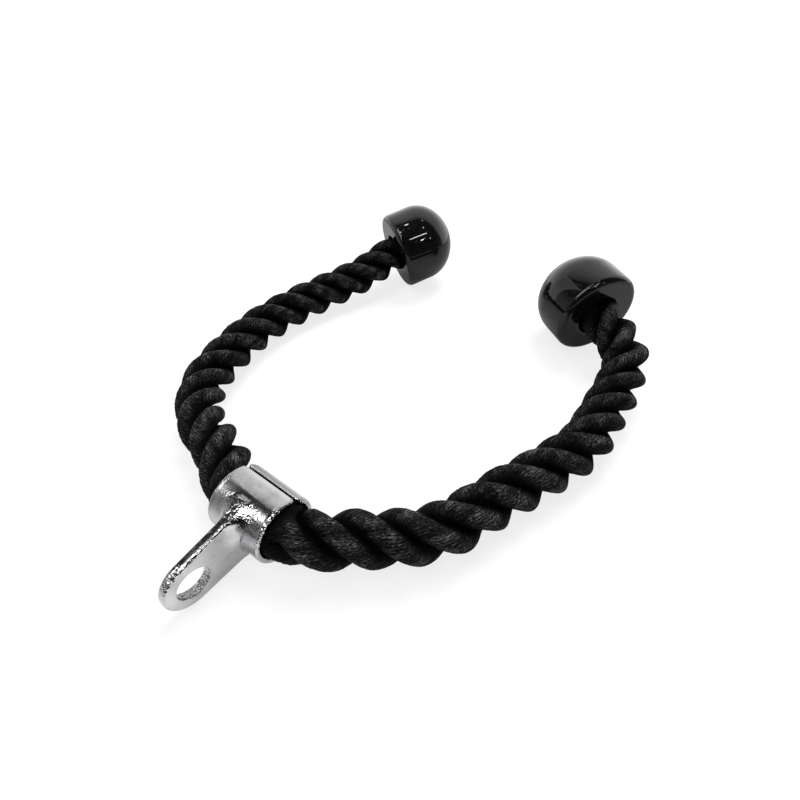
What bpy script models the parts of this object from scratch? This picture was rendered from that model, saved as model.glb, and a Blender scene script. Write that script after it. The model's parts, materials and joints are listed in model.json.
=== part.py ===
"""Triceps rope attachment: a laid rope through a crimped steel collar with a hanging lug.

The rope lies on the floor in a horseshoe, as it does when it is put down. The collar's axis runs
along X, the lug points to -Y, and the two arms curve away to +Y. Lengths are metres, +Z is up.
The origin lies on the floor, in the middle of the box round the collar, the lug and the caps.
"""

import math

import bmesh
import bpy
import numpy as np
from mathutils import Matrix, Vector

# Rope: three strands laid right-handed
ROPE_DIAMETER = 0.030
STRAND_DIAMETER = 0.0116
LAY_LENGTH = 0.065
STRAND_NAMES = ("a", "b", "c")
ROPE_PHASE = math.radians(9)

# Gaps between neighbouring pieces, and between the rope and the floor
CLEARANCE = 0.0003
FLOOR_CLEARANCE = 0.0003

# Collar: a split tube crimped on the rope
COLLAR_LENGTH = 0.0366
COLLAR_WALL = 0.0029
COLLAR_RIM_ROUND = 0.0008
SLIT_WIDTH = 0.0014
SLIT_MOUTH_WIDTH = 0.0034
SLIT_MOUTH_LENGTH = 0.0022
SLIT_ANGLE = math.radians(130)

# Lug: a flat bar with a rounded end and an eye, whose flanks flare into the collar
LUG_THICKNESS = 0.0058
LUG_END_RADIUS = 0.0147
LUG_FLARE_RADIUS = 0.010
LUG_FLARE_SEAT = 0.011
LUG_EDGE_ROUND = 0.0012
EYE_DISTANCE = 0.0433
EYE_DIAMETER = 0.017
EYE_CHAMFER = 0.0006

# End caps: a straight side, a rounded mouth edge and a domed end
CAP_DIAMETER = 0.0632
CAP_SIDE_LENGTH = 0.0225
CAP_LENGTH = 0.0505
CAP_EDGE_RADIUS = 0.0045
CAP_LIP_ROUND = 0.0012
LEFT_CAP_HEADING = math.radians(58)
LEFT_CAP_TILT = math.radians(14)
RIGHT_CAP_HEADING = math.radians(148)
RIGHT_CAP_TILT = math.radians(6)

# Crimp rings on the rope's ends, hidden in the caps
RING_WALL = 0.0022
RING_LENGTH = 0.012
RING_DEPTH = 0.018
ROPE_END_DEPTH = 0.036

# The rope's route outside the collar and the caps: X, Y and lift above lying on the floor,
# from the point on the floor below the collar's middle
LEFT_ROUTE = (
    (-0.0280, 0.0028, 0.0029),
    (-0.0375, 0.0080, 0.0026),
    (-0.0510, 0.0134, 0.0019),
    (-0.0685, 0.0182, 0.0009),
    (-0.0880, 0.0260, 0.0002),
    (-0.1110, 0.0485, 0.0000),
    (-0.1245, 0.0825, 0.0000),
    (-0.1310, 0.1165, 0.0000),
    (-0.1295, 0.1520, 0.0004),
    (-0.1220, 0.1855, 0.0024),
    (-0.1125, 0.2160, 0.0066),
)
RIGHT_ROUTE = (
    (0.0280, 0.0025, 0.0029),
    (0.0380, 0.0090, 0.0027),
    (0.0510, 0.0203, 0.0019),
    (0.0660, 0.0332, 0.0009),
    (0.0805, 0.0520, 0.0002),
    (0.0920, 0.0840, 0.0000),
    (0.1045, 0.1165, 0.0000),
    (0.1135, 0.1470, 0.0003),
    (0.1135, 0.1785, 0.0018),
    (0.1125, 0.2065, 0.0046),
    (0.1060, 0.2325, 0.0095),
)
LEFT_MOUTH = (-0.1045, 0.2495)
RIGHT_MOUTH = (0.0765, 0.2570)

# Each arm turns about the middle of the bending stretch beside the collar
BEND_LENGTH = 0.068

# How finely round forms are divided, and how far cutters run past what they cut
LAY_STEPS = 14
ROUTE_STEPS = 24
ROUND_STEPS = 36
DOME_STEPS = 9
FLARE_STEPS = 8
EDGE_STEPS = 3
CUT_OVERRUN = 0.004
MERGE_DISTANCE = 0.000003
SHARP_ANGLE = math.radians(35)

# Worked out from the sizes above
ROPE_RADIUS = ROPE_DIAMETER / 2
STRAND_RADIUS = STRAND_DIAMETER / 2
STRAND_OFFSET = ROPE_RADIUS - STRAND_RADIUS
LYING_HEIGHT = ROPE_RADIUS + FLOOR_CLEARANCE
BORE_RADIUS = ROPE_RADIUS + CLEARANCE
COLLAR_RADIUS = BORE_RADIUS + COLLAR_WALL
RING_RADIUS = BORE_RADIUS + RING_WALL
CAP_RADIUS = CAP_DIAMETER / 2
LUG_ROOT_RADIUS = COLLAR_RADIUS - CLEARANCE
LUG_DROOP = math.asin((COLLAR_RADIUS - LUG_END_RADIUS) / EYE_DISTANCE)

# Colour, roughness and metallic value of each finish
BLACK_YARN = ((0.010, 0.010, 0.011), 0.80, 0.0)
BLACK_GLOSS = ((0.008, 0.008, 0.009), 0.10, 0.0)
CHROME = ((0.56, 0.56, 0.57), 0.12, 1.0)
ZINC_STEEL = ((0.55, 0.56, 0.58), 0.35, 1.0)

# A drawing plane turned so that its x runs along Y, its y along Z and its normal along X
ACROSS_THE_COLLAR = Matrix(((0, 0, 1), (1, 0, 0), (0, 1, 0))).to_4x4()
ALONG_THE_COLLAR = Matrix.Rotation(math.pi / 2, 4, "Y")


def clear_scene():
    """Remove every object that the file opened with."""
    for thing in list(bpy.data.objects):
        bpy.data.objects.remove(thing, do_unlink=True)


def new_collection(name):
    """Return a new collection linked to the scene."""
    group = bpy.data.collections.new(name)
    bpy.context.scene.collection.children.link(group)
    return group


def new_object(name, data, group):
    """Return a new object in a collection. Without data it is an empty."""
    thing = bpy.data.objects.new(name, data)
    group.objects.link(thing)
    return thing


def new_empty(name, group, place, parent=None):
    """Return an empty that marks a centre or a joint's axis."""
    empty = new_object(name, None, group)
    empty.location = place
    hang(empty, parent)
    return empty


def hang(thing, parent):
    """Parent an object where it stands."""
    if parent is None:
        return
    bpy.context.view_layer.update()
    thing.parent = parent
    thing.matrix_parent_inverse = parent.matrix_world.inverted()


def finish(thing, look, parent):
    """Give a piece its own material, smooth its round faces and hang it on its body."""
    colour, roughness, metallic = look
    skin = bpy.data.materials.new(thing.name)
    skin.use_nodes = True
    shader = skin.node_tree.nodes["Principled BSDF"]
    shader.inputs["Base Color"].default_value = (*colour, 1)
    shader.inputs["Roughness"].default_value = roughness
    shader.inputs["Metallic"].default_value = metallic
    thing.data.materials.append(skin)
    thing.data.shade_smooth()
    thing.data.set_sharp_from_angle(angle=SHARP_ANGLE)
    hang(thing, parent)


def hide_cutter(cutter, parent):
    """Mark a solid as one that only shapes another, and hang it on the same body."""
    cutter.hide_render = True
    cutter.display_type = "WIRE"
    hang(cutter, parent)


def add_boolean(thing, operation, other):
    """Join another solid to a piece, keep what they share, or cut it away."""
    step = thing.modifiers.new(f"{operation.lower()} {other.name}", "BOOLEAN")
    step.operation = operation
    step.solver = "EXACT"
    step.object = other


def arc(centre_x, centre_y, radius, start, end, steps):
    """Return the points of an arc, from its start angle to its end angle."""
    angles = np.linspace(start, end, steps + 1)
    return [(centre_x + radius * math.cos(a), centre_y + radius * math.sin(a)) for a in angles]


def new_turned(name, points, group, closed):
    """Turn a profile of (radius, height) points, outer side first from the top, round Z."""
    chain = bmesh.new()
    corners = [chain.verts.new((radius, 0, height)) for radius, height in points]
    for first, second in zip(corners, corners[1:]):
        chain.edges.new((first, second))
    if closed:
        chain.edges.new((corners[-1], corners[0]))
    mesh = bpy.data.meshes.new(name)
    chain.to_mesh(mesh)
    chain.free()
    thing = new_object(name, mesh, group)
    screw = thing.modifiers.new("turn", "SCREW")
    screw.steps = ROUND_STEPS
    screw.render_steps = ROUND_STEPS
    screw.use_merge_vertices = True
    screw.merge_threshold = MERGE_DISTANCE
    return thing


def new_extruded(name, outline, thickness, group):
    """Extrude a flat outline of (x, y) points to both sides of its own plane."""
    drawing = bpy.data.curves.new(name, "CURVE")
    drawing.dimensions = "2D"
    drawing.fill_mode = "BOTH"
    drawing.extrude = thickness / 2
    spline = drawing.splines.new("POLY")
    spline.points.add(len(outline) - 1)
    for point, (x, y) in zip(spline.points, outline):
        point.co = (x, y, 0, 1)
    spline.use_cyclic_u = True
    return solid_from_curve(name, drawing, group)


def solid_from_curve(name, drawing, group):
    """Turn a curve into a closed mesh object and remove the curve."""
    source = new_object(name, drawing, group)
    evaluated = source.evaluated_get(bpy.context.evaluated_depsgraph_get())
    mesh = bpy.data.meshes.new_from_object(evaluated)
    mesh.name = name
    bpy.data.objects.remove(source, do_unlink=True)
    edit_mesh(mesh, weld)
    return new_object(name, mesh, group)


def edit_mesh(mesh, change):
    """Run a change on a mesh's editable form, with its faces left pointing out."""
    shape = bmesh.new()
    shape.from_mesh(mesh)
    change(shape)
    bmesh.ops.recalc_face_normals(shape, faces=shape.faces)
    shape.to_mesh(mesh)
    shape.free()


def weld(shape):
    """Join the loose caps of a solid made from a curve to its sides."""
    bmesh.ops.remove_doubles(shape, verts=shape.verts, dist=MERGE_DISTANCE)


def smooth_curve(points, start_direction, end_direction):
    """Return a smooth curve through points, which leaves and arrives in set directions."""
    before = points[1] - start_direction * (points[1] - points[0]).length * 2
    after = points[-2] + end_direction * (points[-1] - points[-2]).length * 2
    chain = [before, *points, after]
    curve = [points[0]]
    for p0, p1, p2, p3 in zip(chain, chain[1:], chain[2:], chain[3:]):
        span = (p2 - p1).length
        leave = (p2 - p0) * span / ((p1 - p0).length + span)
        arrive = (p3 - p1) * span / ((p3 - p2).length + span)
        for t in np.linspace(0, 1, ROUTE_STEPS + 1)[1:]:
            curve.append(
                p1 * (2 * t**3 - 3 * t**2 + 1)
                + leave * (t**3 - 2 * t**2 + t)
                + p2 * (3 * t**2 - 2 * t**3)
                + arrive * (t**3 - t**2)
            )
    return curve


class CapSeat:
    """Where a cap's mouth is, and which way the cap points from there."""

    def __init__(self, place, heading, tilt):
        """Rest the cap on the floor by the rounded edge of its mouth."""
        flat_radius = CAP_RADIUS - CAP_EDGE_RADIUS
        height = flat_radius * math.cos(tilt) + CAP_EDGE_RADIUS * (1 - math.sin(tilt))
        level = math.cos(tilt)
        self.mouth = Vector((*place, height))
        self.axis = Vector((math.cos(heading) * level, math.sin(heading) * level, math.sin(tilt)))

    def rope_end(self):
        """Return where the rope's end lies inside the cap."""
        return self.mouth + self.axis * ROPE_END_DEPTH

    def turn(self):
        """Return the place and rotation of a piece whose own Z runs along the cap."""
        return Matrix.Translation(self.mouth) @ self.axis.to_track_quat("Z", "Y").to_matrix().to_4x4()


class Centreline:
    """The line that the rope follows, from its end in the left cap to its end in the right."""

    def __init__(self, left_seat, right_seat):
        """Join the two straight ends, the two arms and the stretch in the collar."""
        along = Vector((1, 0, 0))
        left_rim = along * (-COLLAR_LENGTH / 2) + Vector((0, 0, COLLAR_RADIUS))
        right_rim = along * (COLLAR_LENGTH / 2) + Vector((0, 0, COLLAR_RADIUS))
        left_arm = [left_seat.mouth, *route_points(reversed(LEFT_ROUTE)), left_rim]
        right_arm = [right_rim, *route_points(RIGHT_ROUTE), right_seat.mouth]
        stretches = (
            [left_seat.rope_end(), left_seat.mouth],
            smooth_curve(left_arm, -left_seat.axis, along),
            [left_rim, right_rim],
            smooth_curve(right_arm, along, right_seat.axis),
            [right_seat.mouth, right_seat.rope_end()],
        )
        self.points = [left_seat.rope_end()]
        ends = []
        for stretch in stretches:
            self.points += stretch[1:]
            ends.append(len(self.points) - 1)
        steps = [(b - a).length for a, b in zip(self.points, self.points[1:])]
        self.distance = np.concatenate(([0], np.cumsum(steps)))
        self.length = float(self.distance[-1])
        self.left_rim = float(self.distance[ends[1]])
        self.right_rim = float(self.distance[ends[2]])
        self.carry_frames()

    def carry_frames(self):
        """Carry one side direction along the line without twisting it."""
        spans = [(b - a).normalized() for a, b in zip(self.points, self.points[1:])]
        middles = [(a + b).normalized() for a, b in zip(spans, spans[1:])]
        self.tangents = [spans[0], *middles, spans[-1]]
        side = self.tangents[0].orthogonal().normalized()
        self.sides = [side]
        for tangent in self.tangents[1:]:
            side = (side - side.project(tangent)).normalized()
            self.sides.append(side)

    def at(self, distance, values):
        """Return a vector of the line at a distance from its left end."""
        return Vector([np.interp(distance, self.distance, column) for column in zip(*values)])

    def frame(self, distance):
        """Return the place, direction and two side directions at a distance, also past the ends."""
        inside = min(max(distance, 0), self.length)
        tangent = self.at(inside, self.tangents).normalized()
        place = self.at(inside, self.points) + tangent * (distance - inside)
        side = self.at(inside, self.sides)
        side = (side - side.project(tangent)).normalized()
        return place, tangent, side, tangent.cross(side)


def route_points(route):
    """Return a route's points at their real heights."""
    return [Vector((x, y, LYING_HEIGHT + lift)) for x, y, lift in route]


def new_strand(name, line, phase, start, end, group):
    """Lay one strand round the centreline, cut square to the rope at both ends."""
    first = start - STRAND_DIAMETER
    last = end + STRAND_DIAMETER
    count = math.ceil((last - first) / LAY_LENGTH * LAY_STEPS)
    drawing = bpy.data.curves.new(name, "CURVE")
    drawing.dimensions = "3D"
    drawing.bevel_depth = STRAND_RADIUS
    drawing.bevel_resolution = 2
    drawing.use_fill_caps = True
    spline = drawing.splines.new("POLY")
    spline.points.add(count)
    for point, distance in zip(spline.points, np.linspace(first, last, count + 1)):
        place, _, side, other = line.frame(distance)
        angle = phase + math.tau * distance / LAY_LENGTH
        offset = (side * math.cos(angle) + other * math.sin(angle)) * STRAND_OFFSET
        point.co = (*(place + offset), 1)
    strand = solid_from_curve(name, drawing, group)
    gap = CLEARANCE / 2
    for distance, outward in ((start + gap, -1), (end - gap, 1)):
        place, tangent, _, _ = line.frame(distance)
        edit_mesh(strand.data, lambda shape: trim(shape, place, tangent * outward))
    return strand


def trim(shape, place, outward):
    """Cut a solid with a plane, drop what lies outward of it and close the cut."""
    everything = [*shape.verts, *shape.edges, *shape.faces]
    cut = bmesh.ops.bisect_plane(
        shape, geom=everything, plane_co=place, plane_no=outward, clear_outer=True
    )
    rim = [item for item in cut["geom_cut"] if isinstance(item, bmesh.types.BMEdge)]
    bmesh.ops.edgeloop_fill(shape, edges=rim)


def tube_profile(inner, outer, low, high, rounding):
    """Return the section of a tube's wall with rounded corners, its outer side first."""
    quarter = math.pi / 2
    outer_middle = outer - rounding
    inner_middle = inner + rounding
    points = arc(outer_middle, high - rounding, rounding, quarter, 0, EDGE_STEPS)
    points += arc(outer_middle, low + rounding, rounding, 0, -quarter, EDGE_STEPS)
    points += arc(inner_middle, low + rounding, rounding, -quarter, -2 * quarter, EDGE_STEPS)
    points += arc(inner_middle, high - rounding, rounding, 2 * quarter, quarter, EDGE_STEPS)
    return points


def lug_side_outline():
    """Return the lug's side view: a belt from the collar round the eye's rounded end."""
    lean = math.asin((LUG_ROOT_RADIUS - LUG_END_RADIUS) / EYE_DISTANCE)
    reach = math.pi / 2 + lean
    half_round = ROUND_STEPS // 2
    root = arc(0, 0, LUG_ROOT_RADIUS, -reach, reach, half_round)
    tip = arc(-EYE_DISTANCE, 0, LUG_END_RADIUS, reach, math.tau - reach, half_round)
    return root + tip


def lug_top_outline():
    """Return the lug's plan view: a bar whose flanks curve out into the collar's side."""
    half_bar = LUG_THICKNESS / 2
    half_root = half_bar + LUG_FLARE_RADIUS
    centre_y = -LUG_FLARE_SEAT - LUG_FLARE_RADIUS
    tip = -(EYE_DISTANCE + LUG_END_RADIUS + CUT_OVERRUN)
    flare = arc(half_root, centre_y, LUG_FLARE_RADIUS, math.pi, math.pi / 2, FLARE_STEPS)
    right = [(half_bar, tip), *flare, (half_root, 0)]
    left = [(-x, y) for x, y in reversed(right)]
    return right + left


def slit_outline():
    """Return the slit as it is seen from outside: narrow, with a flared mouth at each end."""
    half_length = COLLAR_LENGTH / 2
    half_width = SLIT_WIDTH / 2
    half_mouth = SLIT_MOUTH_WIDTH / 2
    neck = half_length - SLIT_MOUTH_LENGTH
    past = half_length + CUT_OVERRUN
    upper = [(past, half_mouth), (half_length, half_mouth), (neck, half_width)]
    upper += [(-x, y) for x, y in reversed(upper)]
    return upper + [(x, -y) for x, y in reversed(upper)]


def build_collar(parts, cutters, body):
    """Make the collar and its lug as one forging."""
    middle = Matrix.Translation((0, 0, COLLAR_RADIUS)) @ Matrix.Rotation(LUG_DROOP, 4, "X")
    half = COLLAR_LENGTH / 2

    core_radius = BORE_RADIUS + COLLAR_WALL / 2
    core_outline = arc(0, 0, core_radius, math.tau / ROUND_STEPS, math.tau, ROUND_STEPS - 1)
    core = new_extruded("bore_core", core_outline, COLLAR_LENGTH + CUT_OVERRUN, cutters)
    core.matrix_world = middle @ ACROSS_THE_COLLAR
    hide_cutter(core, body)

    plan = new_extruded("lug_plan", lug_top_outline(), 2 * (COLLAR_RADIUS + CUT_OVERRUN), cutters)
    plan.matrix_world = middle
    hide_cutter(plan, body)

    lug = new_extruded("lug_bar", lug_side_outline(), COLLAR_LENGTH + CUT_OVERRUN, cutters)
    lug.matrix_world = middle @ ACROSS_THE_COLLAR
    add_boolean(lug, "INTERSECT", plan)
    soften = lug.modifiers.new("rounded edges", "BEVEL")
    soften.width = LUG_EDGE_ROUND
    soften.segments = 2
    soften.limit_method = "ANGLE"
    soften.angle_limit = SHARP_ANGLE
    add_boolean(lug, "DIFFERENCE", core)
    hide_cutter(lug, body)

    slit = new_extruded("slit", slit_outline(), COLLAR_WALL + 2 * CLEARANCE + CUT_OVERRUN, cutters)
    outward = Matrix.Rotation(SLIT_ANGLE - math.pi / 2, 4, "X").inverted()
    slit.matrix_world = middle @ outward @ Matrix.Translation((0, 0, COLLAR_RADIUS))
    hide_cutter(slit, body)

    face = LUG_THICKNESS / 2
    past = face + CUT_OVERRUN
    eye_radius = EYE_DIAMETER / 2
    wide = eye_radius + EYE_CHAMFER
    throat = face - EYE_CHAMFER
    eye_profile = [(0, past), (wide, past), (wide, face), (eye_radius, throat)]
    eye_profile += [(radius, -height) for radius, height in reversed(eye_profile)]
    eye = new_turned("eye", eye_profile, cutters, closed=False)
    eye.matrix_world = middle @ Matrix.Translation((0, -EYE_DISTANCE, 0)) @ ALONG_THE_COLLAR
    hide_cutter(eye, body)

    section = tube_profile(BORE_RADIUS, COLLAR_RADIUS, -half, half, COLLAR_RIM_ROUND)
    collar = new_turned("collar_and_lug", section, parts, closed=True)
    collar.matrix_world = middle @ ALONG_THE_COLLAR
    add_boolean(collar, "UNION", lug)
    add_boolean(collar, "DIFFERENCE", slit)
    add_boolean(collar, "DIFFERENCE", eye)
    finish(collar, CHROME, body)
    return collar


def cap_profile():
    """Return a cap's section: down its dome and side, across its mouth and up its pocket."""
    quarter = math.pi / 2
    dome = [
        (CAP_RADIUS * math.cos(a), CAP_SIDE_LENGTH + (CAP_LENGTH - CAP_SIDE_LENGTH) * math.sin(a))
        for a in np.linspace(quarter, 0, DOME_STEPS + 1)
    ]
    dome[0] = (0, CAP_LENGTH)
    edge = arc(CAP_RADIUS - CAP_EDGE_RADIUS, CAP_EDGE_RADIUS, CAP_EDGE_RADIUS, 0, -quarter, EDGE_STEPS)
    lip = arc(BORE_RADIUS + CAP_LIP_ROUND, CAP_LIP_ROUND, CAP_LIP_ROUND, -quarter, -2 * quarter, EDGE_STEPS)
    groove = RING_RADIUS + CLEARANCE
    groove_start = RING_DEPTH - CLEARANCE
    groove_end = RING_DEPTH + RING_LENGTH + CLEARANCE
    floor = ROPE_END_DEPTH + CLEARANCE
    pocket = [
        (BORE_RADIUS, groove_start),
        (groove, groove_start),
        (groove, groove_end),
        (BORE_RADIUS, groove_end),
        (BORE_RADIUS, floor),
        (0, floor),
    ]
    return dome + edge + lip + pocket


def build_cap(side, seat, parts, body):
    """Make one end cap and the crimp ring inside it."""
    cap = new_turned(f"{side}_end_cap", cap_profile(), parts, closed=False)
    cap.matrix_world = seat.turn()
    finish(cap, BLACK_GLOSS, body)
    ring_end = RING_DEPTH + RING_LENGTH
    section = [
        (RING_RADIUS, ring_end),
        (RING_RADIUS, RING_DEPTH),
        (BORE_RADIUS, RING_DEPTH),
        (BORE_RADIUS, ring_end),
    ]
    ring = new_turned(f"{side}_crimp_ring", section, parts, closed=True)
    ring.matrix_world = seat.turn()
    finish(ring, ZINC_STEEL, body)
    return cap


def build_rope(line, parts, root, arms):
    """Lay the three strands, each cut into stretches where the moving bodies meet."""
    left_bend = line.left_rim - BEND_LENGTH
    right_bend = line.right_rim + BEND_LENGTH
    stretches = (
        ("left_arm", 0, left_bend, arms["left"]),
        ("left_bend", left_bend, line.left_rim, arms["left"]),
        ("collar", line.left_rim, line.right_rim, root),
        ("right_bend", line.right_rim, right_bend, arms["right"]),
        ("right_arm", right_bend, line.length, arms["right"]),
    )
    for number, letter in enumerate(STRAND_NAMES):
        phase = ROPE_PHASE + math.tau * number / len(STRAND_NAMES)
        for stretch, start, end, body in stretches:
            strand = new_strand(f"strand_{letter}_{stretch}", line, phase, start, end, parts)
            finish(strand, BLACK_YARN, body)


def centre_on_floor(root, rigid_pieces):
    """Move the whole part so that its origin lies in the middle of the rigid pieces' box."""
    bpy.context.view_layer.update()
    graph = bpy.context.evaluated_depsgraph_get()
    corners = []
    for piece in rigid_pieces:
        evaluated = piece.evaluated_get(graph)
        corners += [evaluated.matrix_world @ corner.co for corner in evaluated.data.vertices]
    columns = list(zip(*corners))
    root.location.x -= (min(columns[0]) + max(columns[0])) / 2
    root.location.y -= (min(columns[1]) + max(columns[1])) / 2
    bpy.context.view_layer.update()


def main():
    """Build the whole attachment."""
    clear_scene()
    parts = new_collection("triceps_rope_attachment")
    cutters = new_collection("cutters")
    left_seat = CapSeat(LEFT_MOUTH, LEFT_CAP_HEADING, LEFT_CAP_TILT)
    right_seat = CapSeat(RIGHT_MOUTH, RIGHT_CAP_HEADING, RIGHT_CAP_TILT)
    line = Centreline(left_seat, right_seat)
    root = new_empty("attachment", parts, (0, 0, 0))
    left_pivot = line.frame(line.left_rim - BEND_LENGTH / 2)[0]
    right_pivot = line.frame(line.right_rim + BEND_LENGTH / 2)[0]
    arms = {
        "left": new_empty("left_arm_axis", parts, left_pivot, root),
        "right": new_empty("right_arm_axis", parts, right_pivot, root),
    }
    collar = build_collar(parts, cutters, root)
    left_cap = build_cap("left", left_seat, parts, arms["left"])
    right_cap = build_cap("right", right_seat, parts, arms["right"])
    build_rope(line, parts, root, arms)
    centre_on_floor(root, (collar, left_cap, right_cap))


if __name__ == "__main__":
    main()
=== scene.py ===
"""Triceps rope attachment: the laid rope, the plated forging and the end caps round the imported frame.

The rope and the forging are built finer than their solids and stand for them, the caps are turned
again with more steps, and the crimp rings keep their solids. Lengths are metres, +Z is up. Places
inside a class are measured from the point on the floor below the collar's middle, and
Attachment.origin brings them to the frame.
"""

import json
import logging
import math
from dataclasses import dataclass, field
from enum import Enum
from typing import Callable, Iterable, Optional, Sequence, Union

import bmesh
import bpy
import numpy as np
from mathutils import Matrix, Vector


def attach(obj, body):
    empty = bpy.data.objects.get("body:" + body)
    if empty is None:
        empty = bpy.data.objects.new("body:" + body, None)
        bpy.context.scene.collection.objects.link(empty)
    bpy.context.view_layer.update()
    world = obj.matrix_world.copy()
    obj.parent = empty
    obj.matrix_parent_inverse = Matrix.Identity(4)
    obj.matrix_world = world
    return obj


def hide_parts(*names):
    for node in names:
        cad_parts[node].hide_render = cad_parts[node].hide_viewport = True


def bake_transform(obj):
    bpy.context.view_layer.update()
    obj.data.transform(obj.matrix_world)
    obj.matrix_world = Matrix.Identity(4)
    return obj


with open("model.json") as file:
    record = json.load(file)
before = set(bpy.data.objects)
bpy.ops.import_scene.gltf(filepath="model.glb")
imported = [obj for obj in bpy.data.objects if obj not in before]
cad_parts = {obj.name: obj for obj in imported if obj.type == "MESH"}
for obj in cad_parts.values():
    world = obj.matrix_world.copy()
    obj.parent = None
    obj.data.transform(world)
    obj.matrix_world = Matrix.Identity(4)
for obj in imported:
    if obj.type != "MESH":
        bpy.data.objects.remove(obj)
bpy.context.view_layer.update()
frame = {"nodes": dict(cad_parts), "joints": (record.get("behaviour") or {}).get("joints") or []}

logging.basicConfig(level=logging.INFO, format="%(message)s")
log = logging.getLogger("rope attachment")

Points = np.ndarray
Colour = tuple[float, ...]
Place = tuple[float, float, float]
Stops = tuple[tuple[float, float], ...]
Value = Union[float, Sequence[float], "Signal"]

UP = Vector((0, 0, 1))
ALONG_THE_COLLAR = Vector((1, 0, 0))
QUARTER = math.pi / 2


class Side(Enum):
    """The two arms of the rope, as the collar's axis meets them."""

    LEFT = "left"
    RIGHT = "right"


class Body(Enum):
    """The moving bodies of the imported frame."""

    COLLAR = "collar"
    LEFT_ARM = "left_arm"
    RIGHT_ARM = "right_arm"


class Slot(Enum):
    """The record's material slots."""

    CHROME = "chrome_plate"
    YARN = "black_yarn"
    MOULDING = "black_gloss"
    ZINC = "zinc_steel"


@dataclass(frozen=True)
class Grain:
    """A noise: the width of its larger spots, how these are drawn out, and its finer layers.

    The place is turned about Z by turn, and then its X is multiplied by drawn. Detail is how many
    finer layers there are, and rough is how strong they are.
    """

    width: float
    detail: float = 2
    rough: float = 0.5
    drawn: float = 1.0
    turn: float = 0.0


class Signal:
    """One output of a shader node, on which Python's arithmetic adds Math nodes."""

    def __init__(self, sheet: "Sheet", socket: bpy.types.NodeSocket) -> None:
        """Wrap a socket of a sheet."""
        self.sheet = sheet
        self.socket = socket

    def __add__(self, other: Value) -> "Signal":
        """Return the sum."""
        return self.sheet.maths("ADD", self, other)

    def __radd__(self, other: Value) -> "Signal":
        """Return the sum with a number on the left."""
        return self.sheet.maths("ADD", other, self)

    def __sub__(self, other: Value) -> "Signal":
        """Return the difference."""
        return self.sheet.maths("SUBTRACT", self, other)

    def __rsub__(self, other: Value) -> "Signal":
        """Return a number less this signal."""
        return self.sheet.maths("SUBTRACT", other, self)

    def __mul__(self, other: Value) -> "Signal":
        """Return the product."""
        return self.sheet.maths("MULTIPLY", self, other)

    def __rmul__(self, other: Value) -> "Signal":
        """Return the product with a number on the left."""
        return self.sheet.maths("MULTIPLY", other, self)

    def __truediv__(self, other: Value) -> "Signal":
        """Return the quotient."""
        return self.sheet.maths("DIVIDE", self, other)

    def __pow__(self, other: Value) -> "Signal":
        """Return the power."""
        return self.sheet.maths("POWER", self, other)

    def ramp(self, stops: Stops) -> "Signal":
        """Return the signal read through a ramp, whose stops are places and grey values."""
        return self.sheet.add("ShaderNodeValToRGB", {"stops": stops}, {"Fac": self})


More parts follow.
